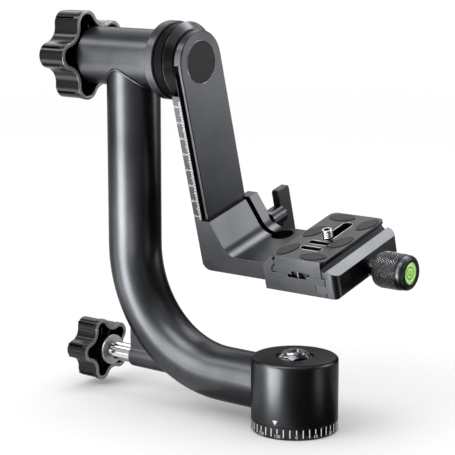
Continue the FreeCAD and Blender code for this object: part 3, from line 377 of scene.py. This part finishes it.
def printed(name, rectangles, figures, place, body):
    # ink marks: rectangles as (left, right, low, high) in the print's own plane, and figures as (text, height,
    # middle across, middle up), all laid on the surface by the place function
    left, right, low, high = np.array(rectangles, float).T
    corners = np.stack([left, low, right, low, right, high, left, high], -1).reshape(-1, 2)
    faces = np.arange(len(corners)).reshape(-1, 4).tolist()
    for text, height, across, up in figures:
        shape, triangles = letters(text, height)
        faces.extend((triangles + len(corners)).tolist())
        corners = np.concatenate([corners, shape + (across, up)])
    addPiece(name, meshFrom(name, place(corners), faces), "printedInk", body)


# Scale on the base

dial = dict(radius=25.44, marks=42, perNumber=3, first=math.radians(-50.5), top=6.3, foot=1.5, shortFoot=3.5,
            width=0.6, figureHeight=1.9, figureMiddle=2.1)


def onDial(flat):
    # the strip wrapped round the base: length along it becomes an angle
    angle = flat[:, 0] / dial["radius"]
    return np.stack([dial["radius"] * np.cos(angle), dial["radius"] * np.sin(angle), flat[:, 1]], -1)


markAngles = dial["first"] + np.arange(dial["marks"]) * 2 * math.pi / dial["marks"]
dialMarks = []
dialFigures = []
for index, angle in enumerate(markAngles):
    middle = angle * dial["radius"]
    numbered = index % dial["perNumber"] == 0
    foot = dial["shortFoot"] if numbered else dial["foot"]
    dialMarks.append((middle - dial["width"] / 2, middle + dial["width"] / 2, foot, dial["top"]))
    if numbered:
        value = 10 * index // dial["perNumber"]
        dialFigures.append((str(value), dial["figureHeight"], middle, dial["figureMiddle"]))
printed("dialMarks", dialMarks, dialFigures, onDial, "base")

pointer = dict(radius=25.46, angle=math.radians(-79.4), halfWidth=1.6, low=8.4, high=11.2, tipShare=0.02, steps=9)
across = np.linspace(-1, 1, pointer["steps"])
spread = np.stack([pointer["tipShare"] * across, across]) * pointer["halfWidth"] / pointer["radius"]
pointerAngle = pointer["angle"] + spread
pointerHeight = np.stack([0 * across + pointer["low"], 0 * across + pointer["high"]])
pointerPoints = np.stack([pointer["radius"] * np.cos(pointerAngle), pointer["radius"] * np.sin(pointerAngle),
                          pointerHeight], -1)
addPiece("indexPointer", meshFrom("indexPointer", *grid(pointerPoints[::-1])), "printedInk", "yoke")
print("scale and pointer on the base")

# Millimetre rule on the arm's side

rule = dict(edgeX=-75.35, faceY=-18.63, zeroDrop=122.0, length=103, halfMark=0.22, tens=3.1, fives=2.4, ones=1.6,
            figureX=-79.75, figureHeight=1.5)


def onRule(flat):
    # the print's width runs along X and its height up the arm, on the face towards -Y
    depth = np.full(len(flat), rule["faceY"])
    return onSwing(np.stack([flat[:, 0], depth, flat[:, 1] - rule["zeroDrop"]], -1))


ruleMarks = []
for step in range(rule["length"] + 1):
    reach = rule["tens"] if step % 10 == 0 else rule["fives"] if step % 5 == 0 else rule["ones"]
    ruleMarks.append((rule["edgeX"] - reach, rule["edgeX"], step - rule["halfMark"], step + rule["halfMark"]))
ruleFigures = [(str(step), rule["figureHeight"], rule["figureX"], step) for step in range(10, rule["length"], 10)]
printed("ruleMarks", ruleMarks, ruleFigures, onRule, "swing")
print("rule on the arm")

# Knurled sleeve of the clamp knob

clampKnob = dict(start=39.6, end=53.9, drop=118.6, radius=10.22, height=0.55, around=36, perDiamond=8,
                 fadeLength=0.6)
pitch = 2 * math.pi * clampKnob["radius"] / clampKnob["around"]
sides = clampKnob["around"] * clampKnob["perDiamond"]
rows = int((clampKnob["end"] - clampKnob["start"]) / (pitch / clampKnob["perDiamond"]))
sleeveAngle = np.arange(sides) * 2 * math.pi / sides
sleevePlace = clampKnob["start"] + np.arange(rows + 1) * pitch / clampKnob["perDiamond"]
sleeveAngle, sleevePlace = np.meshgrid(sleeveAngle, sleevePlace)
# two families of grooves cross at right angles and leave pyramids: the height is the smaller of two triangle
# waves of angle plus and minus place, and it fades to nothing at both ends
turns = sleeveAngle * clampKnob["around"] / (2 * math.pi)
lengths = (sleevePlace - clampKnob["start"]) / pitch
waves = [1 - np.abs(2 * ((turns + sign * lengths) % 1) - 1) for sign in (-1, 1)]
fromEnd = np.minimum(sleevePlace - clampKnob["start"], sleevePlace.max() - sleevePlace)
sleeveTip = np.minimum(*waves) * np.clip(fromEnd / clampKnob["fadeLength"], 0, 1)
sleevePoints = onSwing(aroundX(sleevePlace, clampKnob["radius"] + clampKnob["height"] * sleeveTip, sleeveAngle,
                               -clampKnob["drop"]))
sleeveMesh = meshFrom("clampKnobKnurl", *grid(sleevePoints[::-1], closeV=True))
sleeveMesh.attributes.new("tip", "FLOAT", "POINT").data.foreach_set("value", sleeveTip[::-1].ravel())
addPiece("clampKnobKnurl", sleeveMesh, "knurledAnodised", "clamp_knob_body")

# Level's marks: two rings and a dot, each a flat ring between two radii

levelPlace = dict(faceX=57.79, drop=118.6, steps=72)
levelRings = {
    "levelRing": dict(inner=3.1, outer=3.75),
    "levelBubble": dict(inner=1.15, outer=1.6),
    "levelDot": dict(inner=0.02, outer=0.45),
}
levelAngle = np.linspace(0, 2 * math.pi, levelPlace["steps"], endpoint=False)
for name, ring in levelRings.items():
    radii = np.array([ring["outer"], ring["inner"]])[:, None] + 0 * levelAngle[None, :]
    around = levelAngle[None, :] + 0 * radii
    points = onSwing(aroundX(levelPlace["faceX"] + 0 * radii, radii, around, -levelPlace["drop"]))
    addPiece(name, meshFrom(name, *grid(points[::-1], closeV=True)), "levelInk", "clamp_knob_body")
print("clamp knob's knurl and level")

# Camera screw with its thread, twenty turns to the inch

# turned pieces end this close to their axis, and a thread has this many stations a pitch
axisRadius = 0.01
perPitch = 12
screw = dict(x=4.8, y=-1.65, pitch=1.27, depth=0.75, radius=3.175, shank=2.6, head=5.8, socket=2.3, top=-97.4,
             threadLow=-102.5, headTop=-107.9, headLow=-111.5, socketDepth=3.0, chamfer=0.4, sides=96)
screwAngle = np.arange(screw["sides"]) * 2 * math.pi / screw["sides"]
screwCorners = [(screw["headLow"], axisRadius), (screw["headLow"], screw["head"] - screw["chamfer"]),
                (screw["headLow"] + screw["chamfer"], screw["head"]), (screw["headTop"], screw["head"]),
                (screw["headTop"], screw["shank"]), (screw["threadLow"], screw["shank"]),
                (screw["threadLow"] + screw["chamfer"], screw["radius"]),
                (screw["top"] - screw["chamfer"], screw["radius"]),
                (screw["top"], screw["radius"] - screw["chamfer"])]
screwSpan = (screw["threadLow"], screw["top"] - screw["chamfer"] / 2)
screwRows = refined(screwCorners, screwSpan, screw["pitch"] / perPitch)
height, radius = turned(screwRows, screwAngle, screw["pitch"], screw["depth"], screwSpan)
# the key socket: three more rows whose radius follows a hexagon
hexagon = screw["socket"] * math.cos(math.pi / 6) / np.cos((screwAngle % (math.pi / 3)) - math.pi / 6)
socketFloor = screw["top"] - screw["socketDepth"]
socketRows = [(screw["top"], hexagon), (socketFloor, hexagon), (socketFloor, axisRadius + 0 * hexagon)]
height = np.concatenate([height, [place + 0 * hexagon for place, _ in socketRows]])
radius = np.concatenate([radius, [row for _, row in socketRows]])
screwPoints = onSwing(np.stack([screw["x"] + radius * np.cos(screwAngle), screw["y"] + radius * np.sin(screwAngle),
                                height], -1))
screwMesh = meshFrom("cameraScrewThread", *grid(screwPoints[::-1], closeV=True))
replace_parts(addPiece("cameraScrewThread", screwMesh, "turnedSteel", "camera_screw_body"),
            "camera_screw")

# Pan lock screw, chromed, with its thread where it leaves the knob

lockScrew = dict(height=23.7, pitch=1.25, depth=0.8, thread=4.0, radius=5.8, start=-153.6, shoulder=-139.5,
                 end=-106.0, chamfer=0.5, plainStart=0.3, plainEnd=0.4, sides=96)
lockAngle = np.arange(lockScrew["sides"]) * 2 * math.pi / lockScrew["sides"]
lockCorners = [(lockScrew["start"], axisRadius), (lockScrew["start"], lockScrew["thread"]),
               (lockScrew["shoulder"], lockScrew["thread"]),
               (lockScrew["shoulder"], lockScrew["radius"] - lockScrew["chamfer"]),
               (lockScrew["shoulder"] + lockScrew["chamfer"], lockScrew["radius"]),
               (lockScrew["end"], lockScrew["radius"]), (lockScrew["end"], axisRadius)]
lockSpan = (lockScrew["start"] + lockScrew["plainStart"], lockScrew["shoulder"] - lockScrew["plainEnd"])
lockRows = refined(lockCorners, lockSpan, lockScrew["pitch"] / perPitch)
place, radius = turned(lockRows, lockAngle, lockScrew["pitch"], lockScrew["depth"], lockSpan)
lockPoints = aroundX(place, radius, lockAngle[None, :] + 0 * radius, lockScrew["height"])
lockMesh = meshFrom("panLockThread", *grid(lockPoints[::-1], closeV=True))
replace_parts(addPiece("panLockThread", lockMesh, "polishedChrome", "pan_knob"), "pan_lock_screw")
print("threads cut")


# Star knobs: rounded rims with a painted highlight, and strips of painted shade for the slits in the lobes

lobeAngles = math.pi + np.arange(5) * 2 * math.pi / 5


def arc(centreReach, direction, radius, around):
    # points of a circle arc whose centre lies out from the knob's axis in that direction
    return np.stack([centreReach * math.cos(direction) + radius * np.cos(around),
                     centreReach * math.sin(direction) + radius * np.sin(around)], -1)


def starPath(radius, lobe, valley, inset, perArc=28):
    # five lobes and five valleys of circle arcs that meet smoothly, moved inwards by the inset
    halfPitch = math.pi / 5
    lobePlace = radius - lobe
    # a valley's centre is lobe plus valley away from the lobe's centre, in the direction half a pitch on
    valleyPlace = lobePlace * math.cos(halfPitch)
    valleyPlace += math.sqrt((lobe + valley) ** 2 - (lobePlace * math.sin(halfPitch)) ** 2)
    # the angle at the lobe's centre between outwards and the valley's centre
    towards = math.atan2(valleyPlace * math.sin(halfPitch), valleyPlace * math.cos(halfPitch) - lobePlace)
    lobeSweep = np.linspace(-towards, towards, perArc, endpoint=False)
    valleySweep = np.linspace(halfPitch - towards, towards - halfPitch, perArc, endpoint=False)
    corners = []
    for lobeAngle in lobeAngles:
        valleyAngle = lobeAngle + halfPitch
        corners.append(arc(lobePlace, lobeAngle, lobe - inset, lobeAngle + lobeSweep))
        corners.append(arc(valleyPlace, valleyAngle, valley + inset, valleyAngle + math.pi - valleySweep))
    return np.concatenate(corners)


starKnobs = {
    "tiltKnob": dict(radius=28.5, lobe=8.5, valley=9.0, height=tiltAxisZ, rim=-156.0, slitLow=-175.4,
                     slitHigh=-160.5, body="tilt_knob"),
    "panKnob": dict(radius=20.3, lobe=6.1, valley=6.5, height=23.7, rim=-148.5, slitLow=-164.6,
                    slitHigh=-152.3, body="pan_knob"),
}
rimShape = dict(inset=1.25, halfWidth=1.22, rise=0.45, sides=12)
for knobName, knob in starKnobs.items():
    name = knobName + "Rim"
    flat = starPath(knob["radius"], knob["lobe"], knob["valley"], rimShape["inset"])
    path = np.stack([knob["rim"] + 0 * flat[:, 0], flat[:, 0], knob["height"] + flat[:, 1]], -1)
    points = bead(path, np.tile([1.0, 0.0, 0.0], (len(path), 1)), rimShape["halfWidth"],
                  rimShape["rise"] / rimShape["halfWidth"], rimShape["sides"])
    addPiece(name, meshFrom(name, *grid(points, closeU=True, closeV=True)), "rimHighlight", knob["body"])

# on both sides of each lobe, a narrow dark strip along the knob, as painted shade for a slit. It lies just outside
# the rim's outline, and that outline is half a millimetre outside the wall, so the strip stands off the wall by a
# little more
slitShape = dict(angle=math.radians(42), halfWidth=0.42, proud=0.04, steps=5)
slitAcross = np.linspace(-1, 1, slitShape["steps"]) * slitShape["halfWidth"]
for knobName, knob in starKnobs.items():
    name = knobName + "ShadeStrips"
    points, faces = [], []
    for lobeAngle in lobeAngles:
        for side in (-1, 1):
            around = lobeAngle + side * slitShape["angle"] + slitAcross / knob["lobe"]
            flat = arc(knob["radius"] - knob["lobe"], lobeAngle, knob["lobe"] + slitShape["proud"], around)
            strip = np.stack([np.stack([end + 0 * around, flat[:, 0], knob["height"] + flat[:, 1]], -1)
                              for end in (knob["slitHigh"], knob["slitLow"])])
            stripPoints, stripFaces = grid(strip)
            faces.extend([corner + len(points) for corner in face] for face in stripFaces)
            points.extend(stripPoints)
    addPiece(name, meshFrom(name, points, faces), "paintedSlitShade", knob["body"])
print("knob rims and slits")


# Small rounded edges: the cast seam under the barrel, and the lips of the plate's slots and the disc's edge, which
# carry a painted highlight

fullTurn = np.linspace(0, 2 * math.pi, 160, endpoint=False)
seam = dict(tubeX=-123.6, tubeRadius=16.4, barrelRadius=17.65, radius=0.9)
seamY = seam["tubeRadius"] * np.sin(fullTurn)
seamPath = np.stack([seam["tubeX"] + seam["tubeRadius"] * np.cos(fullTurn), seamY,
                     tiltAxisZ - np.sqrt(seam["barrelRadius"] ** 2 - seamY ** 2)], -1)
seamPoints = bead(seamPath, np.stack([np.cos(fullTurn), np.sin(fullTurn), 0 * fullTurn], -1), seam["radius"])
addPiece("castSeam", meshFrom("castSeam", *grid(seamPoints, closeU=True, closeV=True)), "satinAnodised", "yoke")


def slotPath(x, y, length, width, alongY, chamfer, steps=20):
    # a round-ended slot's outline at its chamfer's upper edge: two half circles joined by straight sides
    sweep = np.linspace(-math.pi / 2, math.pi / 2, steps)
    reach = (length - width) / 2
    endRadius = width / 2 + chamfer
    first = np.stack([reach + endRadius * np.cos(sweep), endRadius * np.sin(sweep)], -1)
    both = np.concatenate([first, -first])
    if alongY:
        both = np.stack([-both[:, 1], both[:, 0]], -1)
    return both + (x, y)


plateSlots = {
    "longSlotLip": dict(x=4.8, y=8.0, length=26.0, width=6.7, alongY=True),
    "nearSlotLip": dict(x=3.5, y=-17.0, length=14.5, width=4.3, alongY=False),
    "middleSlotLip": dict(x=3.5, y=-8.9, length=14.5, width=4.3, alongY=False),
}
slotLip = dict(plateTop=-103.0, chamfer=0.25, radius=0.25)
for name, slot in plateSlots.items():
    outline = slotPath(chamfer=slotLip["chamfer"], **slot)
    path = np.stack([outline[:, 0], outline[:, 1], slotLip["plateTop"] + 0 * outline[:, 0]], -1)
    points = onSwing(bead(path, np.tile([0.0, 0.0, 1.0], (len(path), 1)), slotLip["radius"]))
    addPiece(name, meshFrom(name, *grid(points, closeU=True, closeV=True)), "edgeHighlight", "plate")

discEdge = dict(x=-70.0, radius=12.75, bead=0.22)
discPath = aroundX(discEdge["x"] + 0 * fullTurn, discEdge["radius"] + 0 * fullTurn, fullTurn, 0.0)
discPoints = onSwing(bead(discPath, np.tile([1.0, 0.0, 0.0], (len(fullTurn), 1)), discEdge["bead"]))
addPiece("discEdge", meshFrom("discEdge", *grid(discPoints, closeU=True, closeV=True)), "edgeHighlight", "swing")
print("seam, slot lips and disc edge")


# Floor, light and camera

def seenRays(tree):
    # one for the rays that see a thing, straight, mirrored or through glass, and nought for those that light by it
    rays = addNode(tree, "ShaderNodeLightPath")
    seen = rays.outputs["Is Camera Ray"]
    for kind in ("Is Glossy Ray", "Is Transmission Ray"):
        total = addNode(tree, "ShaderNodeMath", {"#0": seen, "#1": rays.outputs[kind]}, operation="ADD",
                        use_clamp=True)
        seen = total.outputs[0]
    return seen


floorSizes = dict(halfSide=9.0, fadeStart=0.55, fadeEnd=2.2)


def whitePaper():
    # matt white paper near the object, where it takes the shadow; further out it gives the plain white itself
    material, tree = newMaterial("whitePaper")
    place = addNode(tree, "ShaderNodeTexCoord")
    distance = addNode(tree, "ShaderNodeVectorMath", {"#0": place.outputs["Object"]}, operation="LENGTH")
    fade = addNode(tree, "ShaderNodeMapRange", {"Value": distance.outputs["Value"]},
                   interpolation_type="SMOOTHSTEP",
                   From_Min=floorSizes["fadeStart"], From_Max=floorSizes["fadeEnd"])
    share = addNode(tree, "ShaderNodeMath", {"#0": seenRays(tree), "#1": fade.outputs["Result"]},
                    operation="MULTIPLY")
    paper = addNode(tree, "ShaderNodeBsdfDiffuse", Color=linear("#f4f4f4"))
    glow = addNode(tree, "ShaderNodeEmission", Color=(1, 1, 1, 1), Strength=1.0)
    mix = addNode(tree, "ShaderNodeMixShader",
                  {"#0": share.outputs[0], "#1": paper.outputs[0], "#2": glow.outputs[0]})
    finishMaterial(tree, mix)
    return material


side = floorSizes["halfSide"]
floorMesh = bpy.data.meshes.new("floor")
floorMesh.from_pydata([(-side, -side, 0), (side, -side, 0), (side, side, 0), (-side, side, 0)], [], [(0, 1, 2, 3)])
floorMesh.materials.append(whitePaper())
floor = bpy.data.objects.new("floor", floorMesh)
bpy.context.scene.collection.objects.link(floor)

world = bpy.data.worlds.new("studio")
bpy.context.scene.world = world
world.use_nodes = True
sky = world.node_tree
sky.nodes.clear()
skyStrength = addNode(sky, "ShaderNodeMapRange", {"Value": seenRays(sky)}, To_Min=0.97, To_Max=1.0)
air = addNode(sky, "ShaderNodeBackground", {"Strength": skyStrength.outputs["Result"]}, Color=(1, 1, 1, 1))
addNode(sky, "ShaderNodeOutputWorld", {"Surface": air.outputs[0]})

# the camera as fitted to the photo: where it looks, and from where in degrees and metres
target = Vector((-0.04995, -0.00033, 0.11309))
photoView = dict(azimuth=39.03, elevation=10.48, distance=0.9866, focalPixels=1674.45, photoPixels=455,
                 sensorWidth=36.0, near=0.05, far=60.0)


def cameraDirection(rightTurn, lift):
    # unit vector from the object, counted from the camera's direction: degrees to the right, degrees up
    angle = math.radians(photoView["azimuth"] + rightTurn) - math.pi / 2
    flat = math.cos(math.radians(lift))
    return Vector((math.cos(angle) * flat, math.sin(angle) * flat, math.sin(math.radians(lift))))


def placeCard(name, corners, strength):
    # a card that only the object's reflections see: bright ones are softboxes, dark ones black flags
    mesh = bpy.data.meshes.new(name)
    mesh.from_pydata(corners, [], [(0, 1, 2, 3)])
    material, tree = newMaterial(name)
    glow = addNode(tree, "ShaderNodeEmission", Color=(1, 1, 1, 1), Strength=strength)
    finishMaterial(tree, glow)
    mesh.materials.append(material)
    card = bpy.data.objects.new(name, mesh)
    bpy.context.scene.collection.objects.link(card)
    card.visible_camera = False
    card.visible_diffuse = False
    card.visible_shadow = False
    card.visible_transmission = False


def addCard(name, rightTurn, lift, distance, width, height, strength):
    # a card in the air that faces the object
    direction = cameraDirection(rightTurn, lift)
    sideways = Vector((0, 0, 1)).cross(direction).normalized()
    upward = direction.cross(sideways).normalized()
    centre = target + direction * distance
    corners = [centre + sideways * (a * width / 2) + upward * (b * height / 2)
               for a, b in ((1, -1), (-1, -1), (-1, 1), (1, 1))]
    placeCard(name, corners, strength)


cards = {
    "keySoftbox": dict(rightTurn=-66, lift=16, distance=1.25, width=0.6, height=0.7, strength=13.0),
    "rightSoftbox": dict(rightTurn=94, lift=26, distance=1.3, width=0.45, height=0.4, strength=12.0),
    "stripSoftbox": dict(rightTurn=150, lift=61, distance=1.1, width=0.5, height=0.5, strength=15.0),
    "knobSoftbox": dict(rightTurn=-98, lift=40, distance=1.25, width=0.28, height=0.24, strength=15.0),
    "topSoftbox": dict(rightTurn=-50, lift=60, distance=1.1, width=0.55, height=0.4, strength=13.0),
    "rightFlag": dict(rightTurn=50, lift=18, distance=1.3, width=0.95, height=1.2, strength=0.02),
    "frontFlag": dict(rightTurn=4, lift=22, distance=1.35, width=0.9, height=1.0, strength=0.2),
    "backCard": dict(rightTurn=188, lift=36, distance=1.5, width=1.4, height=0.7, strength=3.2),
    "backFlag": dict(rightTurn=180, lift=8, distance=1.45, width=2.2, height=0.55, strength=0.12),
    "backRightFlag": dict(rightTurn=135, lift=12, distance=1.5, width=1.0, height=0.9, strength=0.02),
    "leftFlag": dict(rightTurn=-112, lift=14, distance=1.35, width=0.9, height=0.9, strength=0.1),
    "innerLeftFlag": dict(rightTurn=-31, lift=20, distance=1.4, width=0.75, height=1.0, strength=0.3),
}
for name, values in cards.items():
    addCard(name, **values)


def addFloorCard(name, left, right, near, far, strength, height=0.0008):
    # a card laid on the floor between two directions and two distances
    ways = [cameraDirection(turn, 0) for turn in (left, right)]
    foot = Vector((target.x, target.y, height))
    corners = [foot + ways[0] * near, foot + ways[1] * near, foot + ways[1] * far, foot + ways[0] * far]
    placeCard(name, corners, strength)


floorCards = {
    "keyFloorCard": dict(left=-76, right=-48, near=0.28, far=2.2, strength=29.0),
    "armFloorCard": dict(left=86, right=116, near=1.5, far=3.6, strength=12.0, height=0.0012),
    "baseFloorCard": dict(left=-57, right=-22, near=0.13, far=0.28, strength=30.0),
    "ruleFloorCard": dict(left=-110, right=-76, near=0.28, far=0.6, strength=6.0),
    "nearFloorCard": dict(left=-120, right=-58, near=0.03, far=0.28, strength=1.8),
    "blackFloorCard": dict(left=8, right=88, near=0.1, far=1.3, strength=0.02),
    "bandFloorCard": dict(left=50, right=65, near=0.17, far=1.2, strength=2.2, height=0.0012),
    "rightFloorCard": dict(left=88, right=160, near=0.25, far=1.3, strength=0.05),
    "frontFloorCard": dict(left=-22, right=7, near=0.12, far=1.2, strength=0.2),
}
for name, values in floorCards.items():
    addFloorCard(name, **values)


def addLamp(name, rightTurn, lift, distance, width, height, power):
    light = bpy.data.lights.new(name, "AREA")
    light.shape = "RECTANGLE"
    light.size = width
    light.size_y = height
    light.energy = power
    lamp = bpy.data.objects.new(name, light)
    direction = cameraDirection(rightTurn, lift)
    lamp.location = target + direction * distance
    lamp.rotation_euler = direction.to_track_quat("Z", "Y").to_euler()
    bpy.context.scene.collection.objects.link(lamp)


lamps = {
    "keyLamp": dict(rightTurn=-62, lift=38, distance=1.6, width=1.0, height=1.0, power=6.0),
    "topLamp": dict(rightTurn=170, lift=76, distance=1.7, width=1.4, height=1.4, power=5.0),
}
for name, values in lamps.items():
    addLamp(name, **values)

lens = bpy.data.cameras.new("photoView")
lens.sensor_width = photoView["sensorWidth"]
lens.lens = photoView["focalPixels"] / photoView["photoPixels"] * photoView["sensorWidth"]
lens.clip_start = photoView["near"]
lens.clip_end = photoView["far"]
camera = bpy.data.objects.new("photoView", lens)
bpy.context.scene.collection.objects.link(camera)
back = cameraDirection(0, photoView["elevation"])
right = Vector((0, 0, 1)).cross(back).normalized()
camera.location = target + back * photoView["distance"]
camera.rotation_euler = Matrix((right, back.cross(right), back)).transposed().to_euler()
bpy.context.scene.camera = camera
bpy.context.scene.view_settings.view_transform = "Standard"
print("floor, light and camera set")
